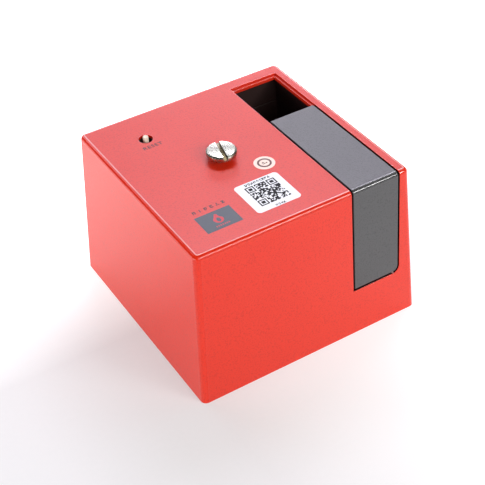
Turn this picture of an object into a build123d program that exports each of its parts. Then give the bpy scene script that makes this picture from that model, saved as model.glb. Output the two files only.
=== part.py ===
from build123d import *

import math
import os

# Burner flame-safeguard control: a plug-in relay unit that one long captive screw holds on its wiring base.
# Millimetres. The origin is the centre of the cover's rim, where the unit meets the wiring base. The front
# faces -Y and +Z is up. All four sides lean in by the same draft angle.

# ---------------------------------------------------------------- cover
WIDTH = 127.0
DEPTH = 127.0
HEIGHT = 86.8
DRAFT_DEG = 3.0
WALL = 2.8
TOP_WALL = 3.0
CORNER_R = 3.0
INNER_CORNER_R = 1.0
TOP_EDGE_R = 2.3
LUG_SIZE = 9.0
LUG_HEIGHT = 11.0

# ---------------------------------------------------------------- slot for the plug-in modules
SLOT_WIDTH = 27.9
SLOT_RIGHT_MARGIN = 5.65
SLOT_REAR_MARGIN = 8.65
SLOT_BOTTOM = 26.95
SLOT_CORNER_R = 4.0
SLOT_EDGE_R = 0.3
LEDGE_WIDTH = 1.2
LEDGE_DROP = 1.25
LEDGE_START = 0.3
MODULE_SIDE_GAP = 0.85
MODULE_FOOT_GAP = 1.2
AMPLIFIER_BAY_LENGTH = 37.4

# ---------------------------------------------------------------- programmer module
SHELL_WALL = 1.6
SHELL_EDGE_R = 0.35
SIDE_PANEL_GAP = 0.1
MODULE_BOARD_THICKNESS = 1.6
MODULE_BOARD_MARGIN = 3.0
MODULE_BOARD_RISE = 5.8
TONGUE_LENGTH = 36.0
TONGUE_FRONT_INSET = 15.5
MODULE_CHIP = (4.0, 35.5, 9.0)
MODULE_SCREW_R = 1.25
MODULE_SCREW_HEAD_R = 2.4
MODULE_SCREW_HEAD_H = 1.5
MODULE_SCREW_BITE = 7.0
MODULE_BOSS_R = 3.3
MODULE_SCREW_INSET = 12.0
MODULE_SCREW_DROP = 16.0

# ---------------------------------------------------------------- module bay liner
LINER_WALL = 1.4
LINER_GAP = 0.3
LINER_CEILING_GAP = 0.5
LINER_STEP = 0.8
LINER_STEP_DROP = 16.8
LINER_LOW_TOP = 48.0
LINER_FRONT_INSET = 7.1
LINER_RIB_GAP = 0.25
LINER_EDGE_R = 0.3

# ---------------------------------------------------------------- base plate and main board
PLATE_Z = 12.0
PLATE_THICKNESS = 3.0
PLATE_GAP = 0.3
SPACER_HEIGHT = 5.0
SPACER_R = 3.5
BOARD_THICKNESS = 1.6
BOARD_MARGIN = 2.0
BOARD_SCREW_R = 1.5
BOARD_SCREW_HEAD_R = 2.75
BOARD_SCREW_HEAD_H = 2.0
BOARD_SCREW_X_INSET = 16.5
BOARD_SCREW_SOCKET_GAP = 0.5
BOARD_SCREW_Y_INSET = 18.0
BASE_SCREW_R = 1.75
BASE_SCREW_HEAD_R = 3.2
BASE_SCREW_HEAD_H = 2.2
BASE_SCREW_BITE = 9.0
SCREW_FIT = 0.05
HOLE_GAP = 0.2
DRIVE_DEPTH = 1.0
DRIVE_WIDTH = 0.9

# ---------------------------------------------------------------- contact blades under the plate
BLADES_PER_ROW = 6
BLADE_PITCH = 15.0
BLADE_WIDTH = 6.3
BLADE_THICKNESS = 0.8
BLADE_TIP_Z = 2.0
BLADE_TIP_CHAMFER = 1.4
BLADE_SHOULDER_DROP = 1.0
BLADE_ROW_INSET = 13.5
TAIL_WIDTH = 2.4
TAIL_RISE = 0.6

# ---------------------------------------------------------------- captive screw
SCREW_X = -10.0
SCREW_Y = 0.0
HEAD_R = 7.65
HEAD_THICKNESS = 2.6
HEAD_LIFT = 2.4
HEAD_CHAMFER = 0.7
HEAD_SLOT_WIDTH = 2.1
HEAD_SLOT_DEPTH = 1.4
HEAD_SLOT_ANGLE = 76.5
SHANK_R = 2.8
THREAD_R = 2.4
THREAD_LENGTH = 6.1
TIP_CHAMFER = 0.8
GROOVE_R = 1.9
RING_R = 5.0
RING_THICKNESS = 1.0
RING_RUN_GAP = 0.05
SHANK_GAP = 0.4
GUIDE_TUBE_WALL = 1.3
GUIDE_TUBE_END_GAP = 0.5

# ---------------------------------------------------------------- reset push rod
RESET_X = -33.0
RESET_Y = 35.7
RESET_HOLE_R = 3.55
HOLE_EDGE_R = 0.3
RESET_ROD_R = 1.4
RESET_ROD_PROUD = 1.5
RESET_TRAVEL = 3.0
RESET_BOSS_WALL = 1.7
RESET_BOSS_LENGTH = 15.0
RESET_WEB = 2.0
RESET_FIT = 0.08
SLEEVE_WALL = 0.25
SLEEVE_FIT = 0.05
SLEEVE_DROP = 1.2
COLLAR_R = 3.1
COLLAR_THICKNESS = 1.2
COLLAR_DROP = 5.35
CLIP_R = 3.8
CLIP_THICKNESS = 0.9
CLIP_GROOVE_R = 1.0
CLIP_GAP = 0.05
SPRING_R = 2.6
SPRING_WIRE_R = 0.25
SPRING_TURNS = 6
SWITCH_SIDE = 12.0
SWITCH_HEIGHT = 8.0
PLUNGER_R = 2.5
PLUNGER_PROUD = 3.7
PLUNGER_DEPTH = 2.2
PLUNGER_FIT = 0.08

# ---------------------------------------------------------------- parts on the main board
SOCKET_WIDTH = 9.0
SOCKET_HEIGHT = 11.0
SOCKET_SLOT_DEPTH = 8.0
SOCKET_SLOT_WIDTH = 3.0
SOCKET_SLOT_END = 0.4
SOCKET_END = 3.6
CONTACT_PITCH = 3.96
CONTACT_WIDTH = 1.5
CONTACT_CLEARANCE = 0.15
CONTACT_HEIGHT = 7.0
AMPLIFIER_TONGUE = 18.4
CORE_WIDTH = 48.0
CORE_STACK = 18.0
CORE_HEIGHT = 40.0
CORE_YOKE = 8.0
CORE_CENTRE_LEG = 16.0
CORE_BLADE_GAP = 1.1
CORE_Y_INSET = 31.0
BOBBIN_WALL = 1.2
BOBBIN_GAP = 0.2
COIL_OVERHANG = 9.0
COIL_INSET = 0.8
RELAY = (15.5, 19.0, 15.4)
RELAY_EDGE_R = 0.8
RELAY_GAP = 1.0
RELAY_TUBE_GAP = 7.8
RELAY_NAMES = ("relay_blower", "relay_ignition", "relay_pilot_valve", "relay_main_valve")
CAPACITOR_R = 6.25
CAPACITOR_HEIGHT = 20.0
CAPACITOR_EDGE_R = 0.8
CAPACITOR_GAP = 1.5
CAPACITOR_BLADE_GAP = 1.35
CHIP = (35.5, 9.0, 4.0)
CHIP_GAP = 6.0

# ---------------------------------------------------------------- labels on the top face
CODE_LABEL = (24.0, 23.3)
CODE_LABEL_R = 2.0
CODE_LABEL_X = -6.8
CODE_LABEL_FRONT_INSET = 22.7
DATE_LABEL_R = 5.3
DATE_LABEL_X = 4.6
DATE_LABEL_Y = -15.7
LABEL_THICKNESS = 0.12
ON_SURFACE = 1e-3

# ---------------------------------------------------------------- levels and edges that follow
LEAN = math.tan(math.radians(DRAFT_DEG))
HALF_TOP_X = WIDTH / 2 - HEIGHT * LEAN
HALF_TOP_Y = DEPTH / 2 - HEIGHT * LEAN
CEILING = HEIGHT - TOP_WALL
PLATE_TOP = PLATE_Z + PLATE_THICKNESS
BOARD_Z = PLATE_TOP + SPACER_HEIGHT
BOARD_TOP = BOARD_Z + BOARD_THICKNESS
BOARD_HALF_X = WIDTH / 2 - BOARD_TOP * LEAN - WALL - BOARD_MARGIN
BOARD_HALF_Y = DEPTH / 2 - BOARD_TOP * LEAN - WALL - BOARD_MARGIN
LUG_TOP = PLATE_TOP + LUG_HEIGHT
LUG_IN_X = BOARD_HALF_X + BOARD_MARGIN - LUG_SIZE - HOLE_GAP
LUG_IN_Y = BOARD_HALF_Y + BOARD_MARGIN - LUG_SIZE - HOLE_GAP
SLOT_RIGHT = HALF_TOP_X - SLOT_RIGHT_MARGIN
SLOT_LEFT = SLOT_RIGHT - SLOT_WIDTH
SLOT_REAR = HALF_TOP_Y - SLOT_REAR_MARGIN
MODULE_LEFT = SLOT_LEFT + MODULE_SIDE_GAP
MODULE_RIGHT = SLOT_RIGHT - MODULE_SIDE_GAP
MODULE_REAR = SLOT_REAR - AMPLIFIER_BAY_LENGTH
MODULE_BOTTOM = SLOT_BOTTOM + MODULE_FOOT_GAP
MODULE_MID = (MODULE_LEFT + MODULE_RIGHT) / 2
LINER_LEFT = SLOT_LEFT - LINER_GAP
LINER_RIGHT = SLOT_RIGHT + LINER_GAP
LINER_REAR = SLOT_REAR + LINER_GAP
SOCKET_TOP = BOARD_TOP + SOCKET_HEIGHT
SOCKET_FLOOR = SOCKET_TOP - SOCKET_SLOT_DEPTH
BLADE_X = WIDTH / 2 - BLADE_ROW_INSET
BOARD_SCREW_LEFT = -WIDTH / 2 + BOARD_SCREW_X_INSET
BOARD_SCREW_RIGHT = MODULE_MID + SOCKET_WIDTH / 2 + BOARD_SCREW_SOCKET_GAP + BOARD_SCREW_HEAD_R
BOARD_SCREW_Y = DEPTH / 2 - BOARD_SCREW_Y_INSET
TONGUE_FRONT = -HALF_TOP_Y + TONGUE_FRONT_INSET
TONGUE_REAR = TONGUE_FRONT + TONGUE_LENGTH
BAY_MID = (MODULE_REAR + SLOT_REAR) / 2
CORE_X = -BLADE_X + BLADE_THICKNESS / 2 + CORE_BLADE_GAP + CORE_WIDTH / 2
CORE_Y = -DEPTH / 2 + CORE_Y_INSET
BORE_R = SHANK_R + SHANK_GAP
GUIDE_TUBE_R = BORE_R + GUIDE_TUBE_WALL
WEB_TOP = CEILING - RESET_BOSS_LENGTH + RESET_WEB
WEB_BOTTOM = WEB_TOP - RESET_WEB
SWITCH_TOP = BOARD_TOP + SWITCH_HEIGHT
PLUNGER_TOP = SWITCH_TOP + PLUNGER_PROUD
COLLAR_Z = CEILING - COLLAR_DROP


# ---------------------------------------------------------------- shapes used by several pieces
def block(x0, x1, y0, y1, z0, z1):
    """A rectangular block between two opposite corners."""
    return Pos((x0 + x1) / 2, (y0 + y1) / 2, (z0 + z1) / 2) * Box(x1 - x0, y1 - y0, z1 - z0)


def post(x, y, z0, z1, radius):
    """An upright cylinder."""
    return Pos(x, y, z0) * Cylinder(radius, z1 - z0, align=(Align.CENTER, Align.CENTER, Align.MIN))


def cross_rod(x0, x1, y, z, radius):
    """A cylinder that lies along X."""
    lying = Cylinder(radius, x1 - x0, rotation=(0, 90, 0), align=(Align.CENTER, Align.CENTER, Align.MIN))
    return Pos(x0, y, z) * lying


def drafted(z0, z1, inset, corner_r=0.0, top_r=0.0):
    """The cover's leaning-sided form between two levels, moved in by inset, with its corners rounded."""
    size_x = WIDTH - 2 * (inset + z0 * LEAN)
    size_y = DEPTH - 2 * (inset + z0 * LEAN)
    form = Pos(0, 0, z0) * extrude(Rectangle(size_x, size_y), amount=z1 - z0, taper=DRAFT_DEG)
    if corner_r:
        upright = [edge for edge in form.edges() if edge.bounding_box().size.Z > (z1 - z0) / 2]
        form = fillet(upright, corner_r)
    if top_r:
        form = fillet(form.faces().sort_by(Axis.Z)[-1].edges(), top_r)
    return form


def slot_form(side_gap, foot_gap, rear):
    """The slot's block, drawn in by a gap at its sides and its foot, with its rounded lower right corner."""
    left = SLOT_LEFT + side_gap
    right = SLOT_RIGHT - side_gap
    form = block(left, right, -DEPTH, rear, SLOT_BOTTOM + foot_gap, 2 * HEIGHT)
    corner = form.edges().filter_by(Axis.Y).sort_by(Axis.X)[-2:].sort_by(Axis.Z)[0]
    return fillet(corner, SLOT_CORNER_R - side_gap)


def shared_edges(body, *forms):
    """Edges of a body whose middles lie on the surface of each of the given forms."""
    skins = [form.shell() for form in forms]
    return [edge for edge in body.edges()
            if all(Vertex(*(edge @ 0.5)).distance_to(skin) < ON_SURFACE for skin in skins)]


def corner_lugs(grow, z0, z1):
    """The four blocks in the corners of the cover that the base screws bite into."""
    reach_x = WIDTH / 2
    reach_y = DEPTH / 2
    lug = block(LUG_IN_X - grow, reach_x, LUG_IN_Y - grow, reach_y, z0, z1)
    return [lug, mirror(lug, Plane.YZ), mirror(lug, Plane.XZ), mirror(mirror(lug, Plane.YZ), Plane.XZ)]


def lug_axes():
    """Centres of the base screws."""
    x = LUG_IN_X + LUG_SIZE / 2
    y = LUG_IN_Y + LUG_SIZE / 2
    return [(x, y), (-x, y), (x, -y), (-x, -y)]


def board_screw_axes():
    """Centres of the screws that hold the main board on its spacers."""
    return [(x, j * BOARD_SCREW_Y) for x in (BOARD_SCREW_LEFT, BOARD_SCREW_RIGHT) for j in (-1, 1)]


def blade_axes():
    """Centres of the contact blades, in two rows along Y."""
    first = -BLADE_PITCH * (BLADES_PER_ROW - 1) / 2
    return [(i * BLADE_X, first + BLADE_PITCH * n) for i in (-1, 1) for n in range(BLADES_PER_ROW)]


def contact_places(front, rear):
    """Positions along Y of the contacts in a socket, centred between the ends of its card slot."""
    count = int((rear - front - CONTACT_WIDTH) / CONTACT_PITCH) + 1
    first = (front + rear) / 2 - CONTACT_PITCH * (count - 1) / 2
    return [first + CONTACT_PITCH * n for n in range(count)]


# ---------------------------------------------------------------- cover and labels
def bay_ledge():
    """The sunk ledge along the right and the rear of the amplifier bay, as deep as the cover."""
    top = HEIGHT - LEDGE_DROP
    front = MODULE_REAR + LEDGE_START
    inner_right = SLOT_RIGHT - LEDGE_WIDTH
    inner_rear = SLOT_REAR - LEDGE_WIDTH
    ledge = block(SLOT_LEFT, SLOT_RIGHT, front, SLOT_REAR, 0, top)
    ledge -= block(SLOT_LEFT, inner_right, front, inner_rear, 0, top)
    rim = [edge for edge in ledge.faces().sort_by(Axis.Z)[-1].edges()
           if abs(edge.center().X - inner_right) < ON_SURFACE or abs(edge.center().Y - inner_rear) < ON_SURFACE]
    return fillet(rim, SLOT_EDGE_R)


def cover():
    """One drafted moulding, open below, slotted over its top and front for the plug-in modules."""
    outside = drafted(0, HEIGHT, 0, CORNER_R, TOP_EDGE_R)
    slot = slot_form(0, 0, SLOT_REAR)
    body = outside - (slot - bay_ledge())
    body = fillet(shared_edges(body, outside, slot), SLOT_EDGE_R)
    body -= drafted(-WALL, CEILING, WALL, INNER_CORNER_R)
    for lug in corner_lugs(0, PLATE_TOP, LUG_TOP):
        body += lug & drafted(PLATE_TOP, LUG_TOP, WALL / 2)
    for x, y in lug_axes():
        body -= post(x, y, PLATE_TOP, PLATE_TOP + BASE_SCREW_BITE, BASE_SCREW_R + SCREW_FIT)
    body += post(RESET_X, RESET_Y, WEB_BOTTOM, CEILING + TOP_WALL / 2, RESET_HOLE_R + RESET_BOSS_WALL)
    mouth = post(RESET_X, RESET_Y, WEB_TOP, HEIGHT, RESET_HOLE_R)
    body -= mouth
    body = fillet([edge for edge in shared_edges(body, mouth) if edge.center().Z > CEILING], HOLE_EDGE_R)
    body -= post(RESET_X, RESET_Y, WEB_BOTTOM, WEB_TOP, RESET_ROD_R + RESET_FIT)
    body -= post(SCREW_X, SCREW_Y, CEILING, HEIGHT, BORE_R)
    return body


def code_label():
    """The square printed sticker on the top face."""
    width, length = CODE_LABEL
    y = -HALF_TOP_Y + CODE_LABEL_FRONT_INSET
    outline = RectangleRounded(width, length, CODE_LABEL_R)
    return Pos(CODE_LABEL_X, y, HEIGHT) * extrude(outline, amount=LABEL_THICKNESS)


def date_label():
    """The small round sticker on the top face."""
    return post(DATE_LABEL_X, DATE_LABEL_Y, HEIGHT, HEIGHT + LABEL_THICKNESS, DATE_LABEL_R)


# ---------------------------------------------------------------- base plate, blades and main board
def base_plate():
    """The recessed floor that closes the cover and carries the board and the blades."""
    plate = drafted(PLATE_Z, PLATE_TOP, WALL + PLATE_GAP, INNER_CORNER_R)
    for x, y in blade_axes():
        half_x = BLADE_THICKNESS / 2 + HOLE_GAP
        half_y = BLADE_WIDTH / 2 + HOLE_GAP
        plate -= block(x - half_x, x + half_x, y - half_y, y + half_y, PLATE_Z, PLATE_TOP)
    for x, y in lug_axes():
        plate -= post(x, y, PLATE_Z, PLATE_TOP, BASE_SCREW_R + HOLE_GAP)
    for x, y in board_screw_axes():
        plate -= post(x, y, PLATE_Z, PLATE_TOP, BOARD_SCREW_R + SCREW_FIT)
    return plate - post(SCREW_X, SCREW_Y, PLATE_Z, PLATE_TOP, BORE_R)


def crossed_drive(x, y, z0, z1, half_length):
    """The cross recess in a screw head."""
    half = DRIVE_WIDTH / 2
    along_x = block(x - half_length, x + half_length, y - half, y + half, z0, z1)
    along_y = block(x - half, x + half, y - half_length, y + half_length, z0, z1)
    return along_x + along_y


def base_screws():
    """Four pan-head screws driven from below through the plate into the cover's lugs."""
    screws = []
    for x, y in lug_axes():
        head = post(x, y, PLATE_Z - BASE_SCREW_HEAD_H, PLATE_Z, BASE_SCREW_HEAD_R)
        head = fillet(head.edges().sort_by(Axis.Z)[0], BASE_SCREW_HEAD_H / 2)
        low = PLATE_Z - BASE_SCREW_HEAD_H
        head -= crossed_drive(x, y, low, low + DRIVE_DEPTH, BASE_SCREW_HEAD_R / 2)
        screws.append(head + post(x, y, PLATE_Z, PLATE_TOP + BASE_SCREW_BITE - HOLE_GAP, BASE_SCREW_R))
    return Compound(children=screws)


def contact_blades():
    """Twelve flat blades that plug into the wiring base, each with a solder tail through the board."""
    blades = []
    half = BLADE_THICKNESS / 2
    for x, y in blade_axes():
        low_y = y - BLADE_WIDTH / 2
        high_y = y + BLADE_WIDTH / 2
        blade = block(x - half, x + half, low_y, high_y, BLADE_TIP_Z, BOARD_Z - BLADE_SHOULDER_DROP)
        tip = blade.faces().sort_by(Axis.Z)[0].edges().filter_by(Axis.X)
        blade = chamfer(tip, BLADE_TIP_CHAMFER)
        tail_low = y - TAIL_WIDTH / 2
        tail_high = y + TAIL_WIDTH / 2
        blade += block(x - half, x + half, tail_low, tail_high, BOARD_Z - 2 * BLADE_SHOULDER_DROP,
                       BOARD_TOP + TAIL_RISE)
        blades.append(blade)
    return Compound(children=blades)


def board_spacers():
    """Four tubes that hold the main board above the plate."""
    tubes = []
    for x, y in board_screw_axes():
        tube = post(x, y, PLATE_TOP, BOARD_Z, SPACER_R)
        tubes.append(tube - post(x, y, PLATE_TOP, BOARD_Z, BOARD_SCREW_R + HOLE_GAP))
    return Compound(children=tubes)


def board_screws():
    """Four screws through the board and its spacers into the plate."""
    screws = []
    for x, y in board_screw_axes():
        top = BOARD_TOP + BOARD_SCREW_HEAD_H
        head = post(x, y, BOARD_TOP, top, BOARD_SCREW_HEAD_R)
        head = fillet(head.edges().sort_by(Axis.Z)[-1], BOARD_SCREW_HEAD_H / 2)
        head -= crossed_drive(x, y, top - DRIVE_DEPTH, top, BOARD_SCREW_HEAD_R / 2)
        screws.append(head + post(x, y, PLATE_Z, BOARD_TOP, BOARD_SCREW_R))
    return Compound(children=screws)


def main_board():
    """The power circuit board, notched round the lugs."""
    board = block(-BOARD_HALF_X, BOARD_HALF_X, -BOARD_HALF_Y, BOARD_HALF_Y, BOARD_Z, BOARD_TOP)
    for lug in corner_lugs(HOLE_GAP * 3, PLATE_TOP, LUG_TOP):
        board -= lug
    for x, y in board_screw_axes():
        board -= post(x, y, BOARD_Z, BOARD_TOP, BOARD_SCREW_R + HOLE_GAP)
    for x, y in blade_axes():
        half_x = BLADE_THICKNESS / 2 + HOLE_GAP
        half_y = TAIL_WIDTH / 2 + HOLE_GAP
        board -= block(x - half_x, x + half_x, y - half_y, y + half_y, BOARD_Z, BOARD_TOP)
    return board - post(SCREW_X, SCREW_Y, BOARD_Z, BOARD_TOP, GUIDE_TUBE_R + HOLE_GAP)


# ---------------------------------------------------------------- parts on the main board
def transformer_core():
    """Laminated E-I core that stands on the board, with a window each side of its centre leg."""
    x0 = CORE_X - CORE_WIDTH / 2
    x1 = CORE_X + CORE_WIDTH / 2
    y0 = CORE_Y - CORE_STACK / 2
    y1 = CORE_Y + CORE_STACK / 2
    core = block(x0, x1, y0, y1, BOARD_TOP, BOARD_TOP + CORE_HEIGHT)
    low = BOARD_TOP + CORE_YOKE
    high = BOARD_TOP + CORE_HEIGHT - CORE_YOKE
    leg = CORE_CENTRE_LEG / 2
    outer = CORE_WIDTH / 2 - CORE_YOKE
    core -= block(CORE_X + leg, CORE_X + outer, y0, y1, low, high)
    return core - block(CORE_X - outer, CORE_X - leg, y0, y1, low, high)


def bobbin_sleeve(grow, z0, z1):
    """An upright rectangular block round the core's centre leg."""
    half_x = CORE_CENTRE_LEG / 2 + BOBBIN_GAP + grow
    half_y = CORE_STACK / 2 + BOBBIN_GAP + grow
    return block(CORE_X - half_x, CORE_X + half_x, CORE_Y - half_y, CORE_Y + half_y, z0, z1)


def coil_form(inset, z0, z1):
    """The room that the winding takes in the core's windows and outside them."""
    half_x = CORE_WIDTH / 2 - CORE_YOKE - BOBBIN_GAP - inset
    half_y = CORE_STACK / 2 + COIL_OVERHANG - inset
    return block(CORE_X - half_x, CORE_X + half_x, CORE_Y - half_y, CORE_Y + half_y, z0, z1)


def transformer_bobbin():
    """The flanged former between core and winding."""
    z0 = BOARD_TOP + CORE_YOKE + BOBBIN_GAP
    z1 = BOARD_TOP + CORE_HEIGHT - CORE_YOKE - BOBBIN_GAP
    former = bobbin_sleeve(BOBBIN_WALL, z0, z1)
    former += coil_form(0, z0, z0 + BOBBIN_WALL)
    former += coil_form(0, z1 - BOBBIN_WALL, z1)
    return former - bobbin_sleeve(0, z0, z1)


def transformer_coil():
    """The taped copper winding."""
    z0 = BOARD_TOP + CORE_YOKE + BOBBIN_GAP + BOBBIN_WALL
    z1 = BOARD_TOP + CORE_HEIGHT - CORE_YOKE - BOBBIN_GAP - BOBBIN_WALL
    winding = coil_form(COIL_INSET, z0, z1)
    winding = fillet(winding.edges().filter_by(Axis.Z), COIL_OVERHANG / 3)
    return winding - bobbin_sleeve(BOBBIN_WALL, z0, z1)


def relay(index):
    """One sealed relay of the column beside the guide tube, two in front of the captive screw and two behind."""
    width, length, height = RELAY
    steps = index - (len(RELAY_NAMES) - 1) / 2
    side = math.copysign(1, steps)
    x0 = SCREW_X + GUIDE_TUBE_R + RELAY_TUBE_GAP
    y = SCREW_Y + side * ((abs(steps) + 0.5) * (length + RELAY_GAP))
    case = block(x0, x0 + width, y - length / 2, y + length / 2, BOARD_TOP, BOARD_TOP + height)
    rounded = case.edges().filter_by(Axis.Z) + case.faces().sort_by(Axis.Z)[-1].edges()
    return fillet(rounded, RELAY_EDGE_R)


def capacitor(side):
    """One upright electrolytic capacitor, in front of or behind the other."""
    x = -BLADE_X + BLADE_THICKNESS / 2 + CAPACITOR_BLADE_GAP + CAPACITOR_R
    coil_rear = CORE_Y + CORE_STACK / 2 + COIL_OVERHANG
    y = coil_rear + CAPACITOR_GAP + CAPACITOR_R + (side + 1) * (CAPACITOR_R + CAPACITOR_GAP / 2)
    can = post(x, y, BOARD_TOP, BOARD_TOP + CAPACITOR_HEIGHT, CAPACITOR_R)
    return fillet(can.edges().sort_by(Axis.Z)[-1], CAPACITOR_EDGE_R)


def timing_chip():
    """The dual in-line logic chip between the captive screw and the reset switch."""
    length, width, height = CHIP
    y = RESET_Y - SWITCH_SIDE / 2 - CHIP_GAP - width / 2
    x1 = SCREW_X + GUIDE_TUBE_R + CHIP_GAP / 2
    body = block(x1 - length, x1, y - width / 2, y + width / 2, BOARD_TOP, BOARD_TOP + height)
    return chamfer(body.faces().sort_by(Axis.Z)[-1].edges(), RELAY_EDGE_R)


def card_socket(front, rear):
    """A card-edge socket along Y whose slot runs between the two ends of a card."""
    half = SOCKET_WIDTH / 2
    shell = block(MODULE_MID - half, MODULE_MID + half, front - SOCKET_END, rear + SOCKET_END,
                  BOARD_TOP, SOCKET_TOP)
    slot = SOCKET_SLOT_WIDTH / 2
    return shell - block(MODULE_MID - slot, MODULE_MID + slot, front - SOCKET_SLOT_END,
                         rear + SOCKET_SLOT_END, SOCKET_FLOOR, SOCKET_TOP)


def card_contacts(front, rear):
    """The spring contacts that line both sides of a socket's slot."""
    near = MODULE_BOARD_THICKNESS / 2 + CONTACT_CLEARANCE
    far = SOCKET_SLOT_WIDTH / 2
    leaves = []
    for y in contact_places(front, rear):
        y0 = y - CONTACT_WIDTH / 2
        y1 = y + CONTACT_WIDTH / 2
        for x0, x1 in ((MODULE_MID + near, MODULE_MID + far), (MODULE_MID - far, MODULE_MID - near)):
            leaves.append(block(x0, x1, y0, y1, SOCKET_FLOOR, SOCKET_FLOOR + CONTACT_HEIGHT))
    return Compound(children=leaves)


def amplifier_card():
    """Front and rear ends of the card edge that the amplifier socket takes."""
    return BAY_MID - AMPLIFIER_TONGUE / 2, BAY_MID + AMPLIFIER_TONGUE / 2


def module_bay():
    """The black liner: tall round the amplifier bay, low beside the programmer and in the rib between them."""
    front = -HALF_TOP_Y + LINER_FRONT_INSET
    rear = LINER_REAR + LINER_WALL
    left = LINER_LEFT - LINER_WALL
    right = LINER_RIGHT + LINER_WALL
    top = CEILING - LINER_CEILING_GAP
    step_top = HEIGHT - LINER_STEP_DROP
    rib = MODULE_REAR + LINER_RIB_GAP
    liner = block(left, LINER_LEFT, front, rear, BOARD_TOP, top)
    liner += block(left, right, LINER_REAR, rear, BOARD_TOP, top)
    liner += block(LINER_RIGHT, right, rib, rear, BOARD_TOP, top)
    liner += block(LINER_RIGHT, right, front, rib, BOARD_TOP, LINER_LOW_TOP)
    liner += block(left, right, rib, rib + LINER_WALL, BOARD_TOP, LINER_LOW_TOP)
    liner += block(LINER_LEFT, LINER_RIGHT, LINER_REAR - LINER_STEP, LINER_REAR, BOARD_TOP, step_top)
    for lug in corner_lugs(HOLE_GAP * 3, PLATE_TOP, LUG_TOP + HOLE_GAP * 3):
        liner -= lug
    for x, y in blade_axes():
        half_x = BLADE_THICKNESS / 2 + HOLE_GAP
        half_y = TAIL_WIDTH / 2 + HOLE_GAP
        liner -= block(x - half_x, x + half_x, y - half_y, y + half_y, BOARD_TOP, BOARD_TOP + 2 * TAIL_RISE)
    step = [edge for edge in liner.edges().filter_by(Axis.X)
            if abs(edge.center().Z - step_top) < ON_SURFACE]
    return fillet(sorted(step, key=lambda edge: edge.center().Y)[0], LINER_EDGE_R)


# ---------------------------------------------------------------- programmer module
def module_screw_axes():
    """Places (y, z) of the two screws that clamp the module together."""
    z = HEIGHT - MODULE_SCREW_DROP
    return [(-HALF_TOP_Y + MODULE_SCREW_INSET, z), (MODULE_REAR - MODULE_SCREW_INSET, z)]


def module_shell():
    """The grey L-topped housing, flush with the cover's front and top, open below and on its right."""
    outside = drafted(0, HEIGHT, 0, CORNER_R, TOP_EDGE_R)
    fill = slot_form(MODULE_SIDE_GAP, MODULE_FOOT_GAP, MODULE_REAR)
    shell = outside & fill
    shell = fillet(shared_edges(shell, outside, fill), SHELL_EDGE_R)
    inside = drafted(0, HEIGHT - SHELL_WALL, SHELL_WALL)
    hollow = block(MODULE_LEFT + SHELL_WALL, WIDTH, -DEPTH, MODULE_REAR - SHELL_WALL, 0, HEIGHT)
    shell -= inside & hollow
    board_face = MODULE_MID - MODULE_BOARD_THICKNESS / 2
    for y, z in module_screw_axes():
        shell += cross_rod(MODULE_LEFT + SHELL_WALL / 2, board_face, y, z, MODULE_BOSS_R)
        shell -= cross_rod(board_face - MODULE_SCREW_BITE, board_face, y, z, MODULE_SCREW_R + SCREW_FIT)
    return shell


def module_side_panel():
    """The plate that closes the right side of the module, with two bosses that press on its board."""
    inner = MODULE_RIGHT - SHELL_WALL
    gap = SHELL_WALL + SIDE_PANEL_GAP
    low = MODULE_BOTTOM + SLOT_CORNER_R
    panel = drafted(0, HEIGHT - gap, gap) & block(inner, MODULE_RIGHT, -DEPTH, MODULE_REAR - gap, low, HEIGHT)
    board_face = MODULE_MID + MODULE_BOARD_THICKNESS / 2
    seat = MODULE_RIGHT - MODULE_SCREW_HEAD_H - HOLE_GAP
    for y, z in module_screw_axes():
        panel += cross_rod(board_face, MODULE_RIGHT, y, z, MODULE_BOSS_R)
        panel -= cross_rod(board_face, MODULE_RIGHT, y, z, MODULE_SCREW_R + HOLE_GAP)
        panel -= cross_rod(seat, MODULE_RIGHT, y, z, MODULE_SCREW_HEAD_R + HOLE_GAP)
    return panel


def module_board():
    """The upright programmer board, whose gold-edged tongue stands in the socket."""
    half = MODULE_BOARD_THICKNESS / 2
    top = HEIGHT - SHELL_WALL - MODULE_BOARD_MARGIN
    front = -HALF_TOP_Y + SHELL_WALL + MODULE_BOARD_MARGIN
    rear = MODULE_REAR - SHELL_WALL - MODULE_BOARD_MARGIN
    shoulder = MODULE_BOTTOM + MODULE_BOARD_RISE
    foot = SOCKET_FLOOR + SOCKET_SLOT_DEPTH / 8
    board = block(MODULE_MID - half, MODULE_MID + half, front, rear, shoulder, top)
    board += block(MODULE_MID - half, MODULE_MID + half, TONGUE_FRONT, TONGUE_REAR, foot, shoulder)
    for y, z in module_screw_axes():
        board -= cross_rod(MODULE_MID - half, MODULE_MID + half, y, z, MODULE_SCREW_R + HOLE_GAP)
    return board


def module_chip():
    """The sequence chip on the right face of the programmer board."""
    thickness, length, width = MODULE_CHIP
    x0 = MODULE_MID + MODULE_BOARD_THICKNESS / 2
    y = (TONGUE_FRONT + TONGUE_REAR) / 2
    z = (MODULE_BOTTOM + HEIGHT) / 2
    body = block(x0, x0 + thickness, y - length / 2, y + length / 2, z - width / 2, z + width / 2)
    return chamfer(body.faces().sort_by(Axis.X)[-1].edges(), RELAY_EDGE_R)


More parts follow.
